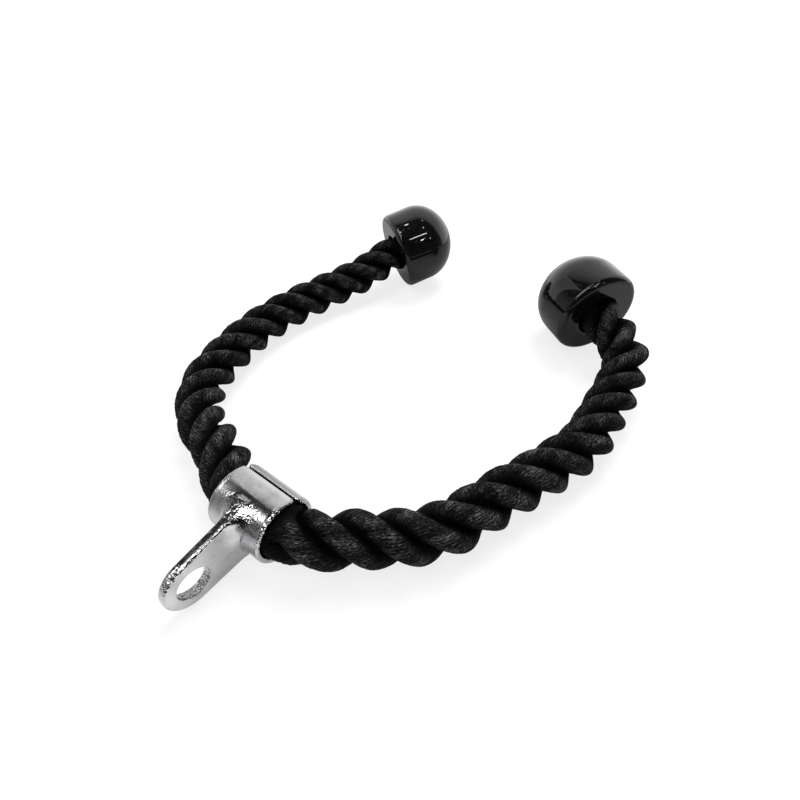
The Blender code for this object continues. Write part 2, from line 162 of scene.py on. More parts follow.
class Sheet:
    """The node tree of one material or of the world, cleared and ready for nodes."""

    def __init__(self, tree: bpy.types.NodeTree) -> None:
        """Clear a tree."""
        self.tree = tree
        tree.nodes.clear()

    def add(
        self,
        kind: str,
        settings: dict[str, object],
        inputs: dict[Union[str, int], Value],
        output: Union[str, int] = 0,
    ) -> Signal:
        """Add a node, set its options first and then its sockets.

        Args:
            kind: The node's type.
            settings: Its options, such as a Math node's operation or a ramp's stops.
            inputs: A number, a colour or a signal for each named or numbered socket.
            output: The output to return.

        Returns:
            That output.
        """
        node = self.tree.nodes.new(kind)
        for name, value in settings.items():
            if name == "stops":
                self._set_stops(node, value)
            else:
                setattr(node, name, value)
        for name, value in inputs.items():
            socket = node.inputs[name]
            if isinstance(value, Signal):
                self.tree.links.new(value.socket, socket)
            else:
                socket.default_value = value
        return Signal(self, node.outputs[output])

    @staticmethod
    def _set_stops(node: bpy.types.Node, stops: Iterable[tuple[float, float]]) -> None:
        """Give a ramp its stops.

        Args:
            node: The ramp, which starts with two stops.
            stops: Places from 0 to 1, each with its grey value.
        """
        elements = node.color_ramp.elements
        for number, (place, grey) in enumerate(stops):
            stop = elements[number] if number < 2 else elements.new(place)
            stop.position = place
            stop.color = (grey, grey, grey, 1)

    def maths(self, operation: str, *values: Value) -> Signal:
        """Add a Math node on one, two or three values."""
        return self.add("ShaderNodeMath", {"operation": operation}, dict(enumerate(values)))

    def measured(self, operation: str, *vectors: Value) -> Signal:
        """Return the number that a Vector Math node makes of one or two vectors."""
        inputs = dict(enumerate(vectors))
        return self.add("ShaderNodeVectorMath", {"operation": operation}, inputs, output="Value")

    def mixed(self, share: Value, first: Value, second: Value) -> Signal:
        """Return a colour between two, by a share from 0 to 1."""
        inputs = {0: share, 6: first, 7: second}
        return self.add("ShaderNodeMix", {"data_type": "RGBA"}, inputs, output=2)

    def place(self) -> Signal:
        """Return the place on the piece, in metres."""
        return self.add("ShaderNodeTexCoord", {}, {}, output="Object")

    def attribute(self, name: str) -> Signal:
        """Return a number that the mesh has at each of its points."""
        return self.add("ShaderNodeAttribute", {"attribute_name": name}, {}, output="Fac")

    def part(self, vector: Signal, axis: str) -> Signal:
        """Return one axis of a vector."""
        return self.add("ShaderNodeSeparateXYZ", {}, {"Vector": vector}, output=axis)

    def ray(self, kind: str) -> Signal:
        """Return 1 for the light rays of one kind, and 0 for the others."""
        return self.add("ShaderNodeLightPath", {}, {}, output=f"Is {kind} Ray")

    def noise(self, place: Signal, grain: Grain) -> Signal:
        """Return a noise.

        Args:
            place: Where it is read, in metres.
            grain: Its spots.

        Returns:
            The noise, about 0.5 on average.
        """
        if grain.drawn != 1.0:
            rotation, scale = (0, 0, grain.turn), (grain.drawn, 1, 1)
            place = self.add("ShaderNodeMapping", {}, {"Vector": place, "Rotation": rotation})
            place = self.add("ShaderNodeMapping", {}, {"Vector": place, "Scale": scale})
        inputs = {
            "Vector": place,
            "Scale": 1 / grain.width,
            "Detail": grain.detail,
            "Roughness": grain.rough,
        }
        return self.add("ShaderNodeTexNoise", {}, inputs)

    def bump(self, height: Signal, depth: float, under: Optional[Signal] = None) -> Signal:
        """Return a normal bent by a height.

        Args:
            height: The relief, from 0 to 1.
            depth: Its depth in metres.
            under: The normal of a coarser relief below it.

        Returns:
            The bent normal.
        """
        inputs: dict[Union[str, int], Value] = {"Height": height, "Distance": depth}
        if under is not None:
            inputs["Normal"] = under
        return self.add("ShaderNodeBump", {}, inputs)

    def surface(self, **sockets: Value) -> Signal:
        """Add a Principled shader. Its sockets are given with underscores for spaces."""
        inputs = {name.replace("_", " "): value for name, value in sockets.items()}
        return self.add("ShaderNodeBsdfPrincipled", {}, inputs)

    def finish(self, shader: Signal, kind: str = "ShaderNodeOutputMaterial") -> None:
        """Lead a shader to the tree's output."""
        output = self.tree.nodes.new(kind)
        self.tree.links.new(shader.socket, output.inputs["Surface"])


def new_sheet(name: str) -> tuple[bpy.types.Material, Sheet]:
    """Return a new material and its empty sheet.

    Args:
        name: The material's name.

    Returns:
        Both.
    """
    material = bpy.data.materials.new(name)
    material.use_nodes = True
    return material, Sheet(material.node_tree)


@dataclass(frozen=True)
class ChromePlate:
    """Bright plating: clouded in patches, worn on the collar's left end, dented in rough places."""

    colour: Colour = (0.56, 0.56, 0.57, 1)
    dull: Colour = (0.44, 0.44, 0.45, 1)
    polish: float = 0.10
    haze: float = 0.16
    wear: float = 0.16
    wear_along: Stops = ((0.002, 1.0), (0.016, 0.0))
    clouds: Grain = Grain(0.006, detail=4)
    dull_clouds: Stops = ((0.42, 0.0), (0.78, 1.0))
    dull_pits: float = 0.15
    waves: Grain = Grain(0.0045)
    ripple: float = 0.00006
    lines: Grain = Grain(0.0006, drawn=0.05, turn=0.9)
    scratch: float = 0.00003
    dent_width: float = 0.0013
    dent_shine: float = 0.05
    grit: Grain = Grain(0.0008)
    grit_share: float = 0.4
    pitting: float = 0.00026

    def material(self) -> bpy.types.Material:
        """Build the plating, whose dents grow with the mesh's "rough" attribute.

        Returns:
            The finish.
        """
        material, sheet = new_sheet(Slot.CHROME.value)
        place = sheet.place()
        rough = sheet.attribute("rough")
        dents = sheet.add(
            "ShaderNodeTexVoronoi",
            {"feature": "F1"},
            {"Vector": place, "Scale": 1 / self.dent_width, "Randomness": 1.0},
            output="Distance",
        )
        pits = (dents + self.grit_share * sheet.noise(place, self.grit)) * rough
        normal = sheet.bump(sheet.noise(place, self.waves), self.ripple)
        normal = sheet.bump(sheet.noise(place, self.lines), self.scratch, normal)
        normal = sheet.bump(pits, self.pitting, normal)
        clouds = sheet.noise(place, self.clouds)
        wear_and_painted_shade = sheet.part(place, "X").ramp(self.wear_along) * self.wear
        tarnish = (clouds + self.dull_pits * pits).ramp(self.dull_clouds)
        sheet.finish(
            sheet.surface(
                Base_Color=sheet.mixed(tarnish, self.colour, self.dull),
                Metallic=1.0,
                Roughness=self.polish + self.haze * clouds**2 + wear_and_painted_shade - self.dent_shine * rough,
                Normal=normal,
            )
        )
        return material


@dataclass(frozen=True)
class BlackYarn:
    """Black multifilament: twisted yarns whose filaments' glints are painted in as short light dashes,
    with painted shade between the yarns and in the grooves.
    """

    yarn_width: float
    dark: Colour = (0.0009, 0.0009, 0.0010, 1)
    # Colour of the painted glints.
    light: Colour = (0.13, 0.13, 0.134, 1)
    sheen: float = 0.05
    dryness: float = 0.75
    dash_gloss: float = 0.30
    dashes: Grain = Grain(0.00055, rough=0.55, drawn=0.32, turn=0.22)
    filaments: Grain = Grain(0.000275, rough=0.6, drawn=0.20, turn=-0.10)
    dash_share: float = 0.65
    patches: Grain = Grain(0.006, drawn=0.5)
    patch_least: float = 0.6
    patch_rise: float = 0.8
    # Ramp of the painted shade between the yarns.
    ridge_light: Stops = ((0.0, 0.05), (0.45, 1.0))
    # Ramp of the painted glints.
    glint_light: Stops = ((0.42, 0.0), (0.55, 0.16), (0.67, 1.0))
    # Ramp of the painted shade in the grooves.
    crown_light: Stops = ((0.30, 0.03), (0.95, 1.0))
    relief_depth: float = 0.00045

    def material(self) -> bpy.types.Material:
        """Build the yarn, whose map runs along the yarns in U and across them in V, in metres.

        Returns:
            The finish, painted in shade: black in the grooves, where the "crown" attribute is 0.
        """
        material, sheet = new_sheet(Slot.YARN.value)
        along = sheet.add("ShaderNodeUVMap", {"uv_map": "yarn"}, {})
        half = self.yarn_width / 2
        # Painted shade: darker lines between the yarns.
        ridge = (sheet.maths("PINGPONG", sheet.part(along, "Y"), half) / half).ramp(self.ridge_light)
        # Painted glints: light dashes along the yarns where the filaments would catch the light,
        # stronger in patches.
        dashes = sheet.noise(along, self.dashes)
        filaments = sheet.noise(along, self.filaments)
        relief = dashes * self.dash_share + filaments * (1 - self.dash_share)
        patches = self.patch_least + self.patch_rise * sheet.noise(along, self.patches)
        glints = (relief * patches).ramp(self.glint_light)
        # Painted shade: black in the grooves and beside the collar and the caps, lighter on the crowns.
        wear_and_painted_shade = sheet.attribute("crown").ramp(self.crown_light)
        sheet.finish(
            sheet.surface(
                Base_Color=sheet.mixed(glints * ridge * wear_and_painted_shade, self.dark, self.light),
                Roughness=self.dryness - self.dash_gloss * dashes,
                Specular_IOR_Level=self.sheen,
                Normal=sheet.bump(relief, self.relief_depth),
            )
        )
        return material


@dataclass(frozen=True)
class BlackMoulding:
    """Black plastic from a polished mould, with faint handling marks."""

    colour: Colour = (0.004, 0.004, 0.0043, 1)
    gloss: float = 0.025
    handling: float = 0.05
    smears: Grain = Grain(0.018, detail=5, rough=0.6)
    smear_edges: Stops = ((0.45, 0.0), (0.75, 1.0))
    sinks: Grain = Grain(0.012, detail=1)
    sink_depth: float = 0.00004
    specks: Grain = Grain(0.0012)
    speck_edges: Stops = ((0.66, 0.0), (0.72, 1.0))
    speck_height: float = 0.00003

    def material(self) -> bpy.types.Material:
        """Build the moulding.

        Returns:
            The finish.
        """
        material, sheet = new_sheet(Slot.MOULDING.value)
        place = sheet.place()
        smears = sheet.noise(place, self.smears).ramp(self.smear_edges)
        specks = sheet.noise(place, self.specks).ramp(self.speck_edges)
        sunk = sheet.bump(sheet.noise(place, self.sinks), self.sink_depth)
        sheet.finish(
            sheet.surface(
                Base_Color=self.colour,
                Roughness=self.gloss + self.handling * smears,
                Normal=sheet.bump(specks, self.speck_height, sunk),
            )
        )
        return material


@dataclass(frozen=True)
class ZincSteel:
    """Zinc plating on the hidden rings."""

    colour: Colour = (0.55, 0.56, 0.58, 1)
    spangle: Grain = Grain(0.002)
    polish: float = 0.25
    haze: float = 0.25

    def material(self) -> bpy.types.Material:
        """Build the zinc, with its spangle.

        Returns:
            The finish.
        """
        material, sheet = new_sheet(Slot.ZINC.value)
        roughness = self.polish + self.haze * sheet.noise(sheet.place(), self.spangle)
        sheet.finish(
            sheet.surface(Base_Color=self.colour, Metallic=1.0, Roughness=roughness)
        )
        return material


@dataclass(frozen=True)
class StudioWhite:
    """The pale floor: white, with the object's soft shadow near its middle.

    In gloss it shows its lit paper near the object, with a pool of light painted beside the lug, dimmer
    further away.
    """

    lit_share: float = 0.22
    mirrored_share: float = 0.7
    shadow_reach: float = 0.6
    shadow_fade: Stops = ((0.4, 1.0), (1.0, 0.0))
    painted_pool_middle: Place = (0.10, -0.17, 0.0)
    pool_fade: Stops = ((0.07, 1.0), (0.19, 0.42))
    paper_white: float = 0.9

    def material(self) -> bpy.types.Material:
        """Build the floor's white.

        Returns:
            The finish.
        """
        material, sheet = new_sheet("studio_white")
        camera, mirror = sheet.ray("Camera"), sheet.ray("Glossy")
        place = sheet.place()
        # Painted pool of light, seen only in gloss: brightest beside the lug, dimmer away from it.
        painted_pool = sheet.measured("DISTANCE", place, self.painted_pool_middle).ramp(self.pool_fade)
        level = 1 - mirror * (1 - painted_pool)
        paper = sheet.add("ShaderNodeBsdfDiffuse", {}, {"Color": level * self.paper_white})
        glow = sheet.add("ShaderNodeEmission", {}, {"Color": level, "Strength": 1.0})
        near = (sheet.measured("LENGTH", place) / self.shadow_reach).ramp(self.shadow_fade)
        seen = camera * (1 - self.lit_share * near) + mirror * (1 - self.mirrored_share * near)
        sheet.finish(sheet.add("ShaderNodeMixShader", {}, {0: seen, 1: paper, 2: glow}))
        return material


def new_piece(name: str, mesh: bpy.types.Mesh, material: bpy.types.Material) -> bpy.types.Object:
    """Put a mesh in the scene, smooth and with its finish.

    Args:
        name: The piece's name.
        mesh: Its mesh.
        material: Its finish.

    Returns:
        The piece.
    """
    piece = bpy.data.objects.new(name, mesh)
    bpy.context.scene.collection.objects.link(piece)
    mesh.materials.append(material)
    mesh.shade_smooth()
    return piece


def mesh_from(name: str, points: Points, faces: Sequence[Sequence[int]]) -> bpy.types.Mesh:
    """Return a mesh with its faces pointing out.

    Args:
        name: The mesh's name.
        points: Its points, one in each row.
        faces: The points of each face.

    Returns:
        The mesh.
    """
    mesh = bpy.data.meshes.new(name)
    mesh.from_pydata(points.tolist(), [], faces)
    shape = bmesh.new()
    shape.from_mesh(mesh)
    bmesh.ops.recalc_face_normals(shape, faces=shape.faces)
    shape.to_mesh(mesh)
    shape.free()
    return mesh


def mark(mesh: bpy.types.Mesh, name: str, values: Points) -> None:
    """Give a mesh a named number at each of its points."""
    layer = mesh.attributes.new(name, "FLOAT", "POINT")
    layer.data.foreach_set("value", values.astype(np.float32).ravel())


@dataclass
class CapSeat:
    """Where a cap's mouth is, and which way the cap points from there."""

    side: Side
    place: tuple[float, float]
    heading: float
    tilt: float
    cap_radius: float = 0.0316
    edge_radius: float = 0.0045

    @property
    def axis(self) -> Vector:
        """The direction from the mouth to the dome."""
        level = math.cos(self.tilt)
        ahead = Vector((math.cos(self.heading), math.sin(self.heading), 0))
        return ahead * level + UP * math.sin(self.tilt)

    @property
    def mouth(self) -> Vector:
        """The middle of the mouth face. The cap rests by the rounded edge of its mouth."""
        flat_radius = self.cap_radius - self.edge_radius
        height = flat_radius * math.cos(self.tilt) + self.edge_radius * (1 - math.sin(self.tilt))
        return Vector((*self.place, height))

    def turn(self) -> Matrix:
        """Return the place and rotation of a piece whose own Z runs along the cap."""
        rotation = self.axis.to_track_quat("Z", "Y").to_matrix().to_4x4()
        return Matrix.Translation(self.mouth) @ rotation


@dataclass
class RopeLine:
    """The line that the rope follows, from its end in the left cap to its end in the right.

    A route is an arm's points from the collar outwards, each with its lift above the height at
    which the rope lies on the floor.
    """

    seats: dict[Side, CapSeat]
    collar_half: float = 0.0183
    collar_radius: float = 0.0182
    lying_height: float = 0.0153
    end_depth: float = 0.036
    bend_length: float = 0.068
    steps: int = 24
    routes: dict[Side, tuple[Place, ...]] = field(
        default_factory=lambda: {
            Side.LEFT: (
                (-0.0280, 0.0028, 0.0029),
                (-0.0375, 0.0080, 0.0026),
                (-0.0510, 0.0134, 0.0019),
                (-0.0685, 0.0182, 0.0009),
                (-0.0880, 0.0260, 0.0002),
                (-0.1110, 0.0485, 0.0000),
                (-0.1245, 0.0825, 0.0000),
                (-0.1310, 0.1165, 0.0000),
                (-0.1295, 0.1520, 0.0004),
                (-0.1220, 0.1855, 0.0024),
                (-0.1125, 0.2160, 0.0066),
            ),
            Side.RIGHT: (
                (0.0280, 0.0025, 0.0029),
                (0.0380, 0.0090, 0.0027),
                (0.0510, 0.0203, 0.0019),
                (0.0660, 0.0332, 0.0009),
                (0.0805, 0.0520, 0.0002),
                (0.0920, 0.0840, 0.0000),
                (0.1045, 0.1165, 0.0000),
                (0.1135, 0.1470, 0.0003),
                (0.1135, 0.1785, 0.0018),
                (0.1125, 0.2065, 0.0046),
                (0.1060, 0.2325, 0.0095),
            ),
        }
    )

    def __post_init__(self) -> None:
        """Join the two straight ends, the two arms and the stretch in the collar."""
        left, right = self.seats[Side.LEFT], self.seats[Side.RIGHT]
        height = UP * self.collar_radius
        left_rim = height - ALONG_THE_COLLAR * self.collar_half
        right_rim = height + ALONG_THE_COLLAR * self.collar_half
        left_arm = [left.mouth, *reversed(self.route(Side.LEFT)), left_rim]
        right_arm = [right_rim, *self.route(Side.RIGHT), right.mouth]
        left_end = left.mouth + left.axis * self.end_depth
        right_end = right.mouth + right.axis * self.end_depth
        stretches = (
            [left_end, left.mouth],
            self.smooth(left_arm, -left.axis, ALONG_THE_COLLAR),
            [left_rim, right_rim],
            self.smooth(right_arm, ALONG_THE_COLLAR, right.axis),
            [right.mouth, right_end],
        )
        places = [left_end]
        ends = []
        for stretch in stretches:
            places += stretch[1:]
            ends.append(len(places) - 1)
        self.places = np.array(places)
        spans = np.diff(self.places, axis=0)
        lengths = np.linalg.norm(spans, axis=1)
        self.distances = np.concatenate(([0], np.cumsum(lengths)))
        self.length = float(self.distances[-1])
        self.rims = {
            Side.LEFT: float(self.distances[ends[1]]),
            Side.RIGHT: float(self.distances[ends[2]]),
        }
        self.middle = (self.rims[Side.LEFT] + self.rims[Side.RIGHT]) / 2
        self._carry_frames(spans / lengths[:, None])

    def route(self, side: Side) -> list[Vector]:
        """Return a route's points at their real heights."""
        return [Vector((x, y, self.lying_height + lift)) for x, y, lift in self.routes[side]]

    def smooth(self, points: list[Vector], leaving: Vector, arriving: Vector) -> list[Vector]:
        """Draw a smooth curve through points.

        Args:
            points: The points.
            leaving: The curve's direction at the first of them.
            arriving: Its direction at the last.

        Returns:
            The curve's points, with the first and the last.
        """
        before = points[1] - leaving * (points[1] - points[0]).length * 2
        after = points[-2] + arriving * (points[-1] - points[-2]).length * 2
        chain = [before, *points, after]
        curve = [points[0]]
        for p0, p1, p2, p3 in zip(chain, chain[1:], chain[2:], chain[3:]):
            span = (p2 - p1).length
            leave = (p2 - p0) * span / ((p1 - p0).length + span)
            arrive = (p3 - p1) * span / ((p3 - p2).length + span)
            for t in np.linspace(0, 1, self.steps + 1)[1:]:
                curve.append(
                    p1 * (2 * t**3 - 3 * t**2 + 1)
                    + leave * (t**3 - 2 * t**2 + t)
                    + p2 * (3 * t**2 - 2 * t**3)
                    + arrive * (t**3 - t**2)
                )
        return curve

    def _carry_frames(self, spans: Points) -> None:
        """Carry one side direction along the line without twisting it.

        Args:
            spans: The directions of the line's spans.
        """
        middles = spans[:-1] + spans[1:]
        middles /= np.linalg.norm(middles, axis=1)[:, None]
        self.tangents = np.vstack((spans[:1], middles, spans[-1:]))
        side = np.array(Vector(self.tangents[0]).orthogonal().normalized())
        self.sides = np.zeros_like(self.tangents)
        for number, tangent in enumerate(self.tangents):
            side = side - tangent * (side @ tangent)
            side = side / np.linalg.norm(side)
            self.sides[number] = side

    def at(self, distances: Points, rows: Points) -> Points:
        """Return rows of the line read at distances from its left end."""
        return np.stack([np.interp(distances, self.distances, column) for column in rows.T], 1)

    def spot(self, distance: float) -> Vector:
        """Return the line's place at one distance from its left end."""
        return Vector(self.at(np.array([distance]), self.places)[0])

    def frames(self, distances: Points) -> tuple[Points, Points, Points]:
        """Read the line and the directions across it.

        Args:
            distances: Where to read them, from the line's left end.

        Returns:
            The places, and the two directions across the line.
        """
        tangents = self.at(distances, self.tangents)
        tangents /= np.linalg.norm(tangents, axis=1)[:, None]
        sides = self.at(distances, self.sides)
        sides -= tangents * (sides * tangents).sum(1)[:, None]
        sides /= np.linalg.norm(sides, axis=1)[:, None]
        return self.at(distances, self.places), sides, np.cross(tangents, sides)

    def mouth_distance(self, side: Side) -> float:
        """Return how far a cap's mouth is from the collar's middle, along the rope."""
        end = 0.0 if side is Side.LEFT else self.length
        return abs(end - self.middle) - self.end_depth

    def bend_end(self, side: Side) -> float:
        """Return the distance at which an arm's bending stretch beside the collar ends."""
        outward = -1 if side is Side.LEFT else 1
        return self.rims[side] + outward * self.bend_length


@dataclass
class LaidRope:
    """Three strands laid right-handed, whose yarns run back along the rope on their crowns.

    Each strand fills its third of the collar's bore and is round outside. Lay_turn is the angle in
    degrees by which the right arm's lay is turned, at distances from the collar's middle.
    """

    line: RopeLine
    origin: Vector
    radius: float = 0.0150
    strand_radius: float = 0.0074
    lay: float = 0.065
    core_radius: float = 0.0020
    parting: float = 0.0001
    strands: int = 3
    phase: float = math.radians(9)
    lay_turn: Stops = ((0.000, 0), (0.018, -26), (0.170, -26), (0.270, 0))
    crown_steps: int = 181
    flank_steps: int = 59
    outline_steps: int = 480
    softenings: int = 14
    ring_step: float = 0.0019
    yarns: int = 27
    yarn_columns: int = 5
    yarn_height: float = 0.00045
    yarn_fullness: float = 0.8
    proud: tuple[float, float] = (0.55, 1.0)
    sway_lengths: tuple[float, float] = (0.011, 0.023)
    sway_width: float = 0.22
    slower: float = 1.7
    swell: float = 0.14
    seed: int = 7
    press_fade: float = 0.006
    # How far the painted shade beside the collar and the caps reaches, and the crown share left at its
    # darkest.
    painted_shade_reach: float = 0.008
    painted_shade_least: float = 0.1
    groove_radius: float = 0.55
    crown_rise: float = 0.40

    @property
    def yarn_width(self) -> float:
        """The width of one yarn round a strand."""
        return self.section(pressed=False)[2] / self.yarns

    def section(self, pressed: bool) -> tuple[Points, Points, float]:
        """Return one strand's section across the rope, crown towards +X.

        Args:
            pressed: Whether the strand fills its third of the collar's bore, or is round.

        Returns:
            The closed section's points, evenly spaced, the outward normals there, and its girth.
        """
        offset = self.radius - self.strand_radius
        round_radius = self.strand_radius - self.yarn_height
        half = math.pi / self.strands - self.parting / offset
        turns = np.linspace(-half, half, self.crown_steps)
        lobe = offset * np.cos(turns) + np.sqrt(round_radius**2 - (offset * np.sin(turns)) ** 2)
        if pressed:
            lobe = np.full_like(turns, offset + round_radius)
        flank = np.linspace(lobe[0], self.core_radius, self.flank_steps + 1)[1:]
        turns = np.concatenate((turns, np.full_like(flank, half), np.full_like(flank, -half)))
        radii = np.concatenate((lobe, flank, flank[::-1]))
        outline = np.stack((radii * np.cos(turns), radii * np.sin(turns)), 1)
        outline = self.evened(outline)
        for _ in range(self.softenings):
            outline = (np.roll(outline, 1, 0) + 2 * outline + np.roll(outline, -1, 0)) / 4
        outline = self.evened(outline)
        ahead = np.roll(outline, -1, 0) - np.roll(outline, 1, 0)
        normals = np.stack((ahead[:, 1], -ahead[:, 0]), 1)
        normals /= np.linalg.norm(normals, axis=1)[:, None]
        girth = float(np.linalg.norm(np.roll(outline, -1, 0) - outline, axis=1).sum())
        return outline, normals, girth

    def evened(self, outline: Points) -> Points:
        """Space a closed outline's points evenly.

        Args:
            outline: The outline's points.

        Returns:
            Its new points, from the same start.
        """
        closed = np.vstack((outline, outline[:1]))
        lengths = np.linalg.norm(np.diff(closed, axis=0), axis=1)
        travelled = np.concatenate(([0], np.cumsum(lengths)))
        wanted = np.linspace(0, travelled[-1], self.outline_steps, endpoint=False)
        return np.stack([np.interp(wanted, travelled, column) for column in closed.T], 1)

    @staticmethod
    def read_round(rows: Points, around: Points) -> Points:
        """Read the rows of a closed outline.

        Args:
            rows: One row for each of its evenly spaced points.
            around: Shares of the way round it.

        Returns:
            The rows there.
        """
        spot = around * len(rows)
        below = spot.astype(int) % len(rows)
        part = (spot - spot.astype(int))[..., None]
        return rows[below] * (1 - part) + rows[(below + 1) % len(rows)] * part

    def arm(self, side: Side, finish: bpy.types.Material) -> bpy.types.Object:
        """Build one arm from the collar's middle to its end in the cap.

        Args:
            side: The arm to build.
            finish: The yarn's material.

        Returns:
            The arm as one piece.
        """
        line = self.line
        if side is Side.LEFT:
            span = (line.middle - self.parting, self.parting)
        else:
            span = (line.middle + self.parting, line.length - self.parting)
        count = math.ceil(abs(span[1] - span[0]) / self.ring_step)
        distances = np.linspace(*span, count + 1)
        laid = [self.strand_rings(side, strand, distances) for strand in range(self.strands)]
        places, maps, crowns = (np.stack(rings) for rings in zip(*laid))
        rings, columns = crowns.shape[1:]
        faces = [
            face
            for strand in range(self.strands)
            for face in self.tube_faces(strand * rings * columns, rings, columns)
        ]
        name = f"{side.value}_rope_arm"
        mesh = mesh_from(name, places.reshape(-1, 3) + np.array(self.origin), faces)
        self.write_map(mesh, maps.reshape(-1, 2), columns, self.yarn_width * self.yarns)
        # The crown share says where the yarn is painted in shade.
        mark(mesh, "crown", crowns)
        piece = new_piece(name, mesh, finish)
        self.declare(piece, side, distances)
        return piece

    def strand_rings(
        self, side: Side, strand: int, distances: Points
    ) -> tuple[Points, Points, Points]:
        """Lay one strand of an arm.

        Args:
            side: The arm.
            strand: The strand's number.
            distances: Where its rings are along the line.

        Returns:
            The rings of points, whose columns follow the yarns, their map, and their crown share, which
            sets the yarn's painted shade.
        """
        loose, pressed = self.section(pressed=False), self.section(pressed=True)
        girth = loose[2]
        columns = np.arange(self.yarns * self.yarn_columns)
        share = columns / len(columns)
        travelled = distances[:, None]
        yarn_lay = girth * self.lay / (math.tau * self.radius)
        sway, height = self.yarn_forms(strand, columns, travelled)
        around = (share - travelled / yarn_lay + sway) % 1
        from_middle = np.abs(travelled - self.line.middle)
        press = 1 - np.clip((from_middle - self.line.collar_half) / self.press_fade, 0, 1)
        press = (press * press * (3 - 2 * press))[..., None]
        flat, out = (
            self.read_round(free, around) * (1 - press) + self.read_round(full, around) * press
            for free, full in zip(loose[:2], pressed[:2])
        )
        crown = self.crown_share(side, flat, from_middle)
        flat = flat + out * height[..., None]
        turn = self.phase + math.tau * strand / self.strands + math.tau * travelled / self.lay
        if side is Side.RIGHT:
            turn = turn + np.radians(np.interp(from_middle, *np.array(self.lay_turn).T))
        cosine, sine = np.cos(turn), np.sin(turn)
        x = flat[..., 0] * cosine - flat[..., 1] * sine
        y = flat[..., 0] * sine + flat[..., 1] * cosine
        centres, sides, others = self.line.frames(distances)
        points = centres[:, None] + sides[:, None] * x[..., None] + others[:, None] * y[..., None]
        spread = np.broadcast_to((share + 2 * strand) * girth, around.shape)
        along = np.broadcast_to(travelled, around.shape)
        return points, np.stack((along, spread), -1), crown

    def yarn_forms(
        self, strand: int, columns: Points, travelled: Points
    ) -> tuple[Points, Points]:
        """Let the yarns of a strand sway and swell, each in its own way.

        Args:
            strand: The strand's number.
            columns: The numbers of its columns of points.
            travelled: The distances of its rings, one in each row.

        Returns:
            How far each point is swayed, as a share of the way round, and its height.
        """
        chance = np.random.default_rng(self.seed + strand)
        proud, sway_turn, sway_length = (
            np.repeat(chance.uniform(*limits, self.yarns), self.yarn_columns)
            for limits in (self.proud, (0, math.tau), self.sway_lengths)
        )
        quick = np.sin(math.tau * travelled / sway_length + sway_turn)
        slow = np.sin(math.tau * travelled / (self.slower * sway_length) - sway_turn)
        ridge = np.sin(math.pi * ((columns % self.yarn_columns) / self.yarn_columns))
        ridge = ridge**self.yarn_fullness
        height = self.yarn_height * (ridge * proud * (1 - self.swell + self.swell * quick))
        return self.sway_width / self.yarns * slow, height

    def crown_share(self, side: Side, flat: Points, from_middle: Points) -> Points:
        """Return how far points stand out of the grooves, less beside the collar and the cap, as the
        share that the yarn's painted shade leaves lit.

        Args:
            side: The arm.
            flat: The points across the rope.
            from_middle: Their distances from the collar's middle.

        Returns:
            Shares from 0, in painted shade in a groove, to 1 on a crown.
        """
        crown = (np.linalg.norm(flat, axis=2) / self.radius - self.groove_radius) / self.crown_rise
        rim_space = (from_middle - self.line.collar_half) / self.painted_shade_reach
        cap_space = (self.line.mouth_distance(side) - from_middle) / self.painted_shade_reach
        crown = crown * np.clip(np.minimum(rim_space, cap_space), self.painted_shade_least, 1)
        return np.clip(crown, 0, 1)

    @staticmethod
    def tube_faces(first: int, rings: int, columns: int) -> list[tuple[int, ...]]:
        """Return the faces of a closed tube.

        Args:
            first: The number of its first point.
            rings: How many rings follow each other.
            columns: How many points each ring has.

        Returns:
            The sides' faces, and then the two ends.
        """
        faces = []
        for ring in range(rings - 1):
            here = first + ring * columns
            for column in range(columns):
                beside = (column + 1) % columns
                faces.append(
                    (here + column, here + beside, here + columns + beside, here + columns + column)
                )
        last = first + (rings - 1) * columns
        faces.append(tuple(range(first, first + columns)))
        faces.append(tuple(range(last, last + columns)))
        return faces

    @staticmethod
    def write_map(mesh: bpy.types.Mesh, spots: Points, columns: int, girth: float) -> None:
        """Write the yarns' map, unbroken across the seam where a ring closes.

        Args:
            mesh: The mesh of an arm.
            spots: The map's place of each point.
            columns: How many points each ring has.
            girth: The way round a strand.
        """
        layer = mesh.uv_layers.new(name="yarn")
        owners = np.zeros(len(mesh.loops), int)
        mesh.loops.foreach_get("vertex_index", owners)
        seen = spots[owners]
        starts = np.zeros(len(mesh.polygons), int)
        mesh.polygons.foreach_get("loop_start", starts)
        sizes = np.zeros(len(mesh.polygons), int)
        mesh.polygons.foreach_get("loop_total", sizes)
        quads = starts[sizes == 4][:, None] + np.arange(4)
        column = owners[quads] % columns
        seam = (column.max(1) == columns - 1) & (column.min(1) == 0)
        low = quads[seam][column[seam] == 0]
        seen[low, 1] += girth
        layer.data.foreach_set("uv", seen.astype(np.float32).ravel())

    def declare(
        self, piece: bpy.types.Object, side: Side, distances: Points
    ) -> None:
        """Bake an arm's piece into the scene's axes and hide the frame's strands that it stands for.

        Args:
            piece: The arm's piece.
            side: The arm.
            distances: Where its rings are along the line.
        """
        line = self.line
        rim = line.spot(line.rims[side]) + self.origin
        bent = line.spot(line.bend_end(side)) + self.origin
        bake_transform(piece)
        stretches = [f"{side.value}_bend", f"{side.value}_arm"]
        if side is Side.LEFT:
            stretches.append("collar")
        letters = "abc"[: self.strands]
        nodes = [f"strand_{letter}_{stretch}" for letter in letters for stretch in stretches]
        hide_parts(*nodes)
        path = line.at(distances, line.places) + np.array(self.origin)
        2 * self.radius


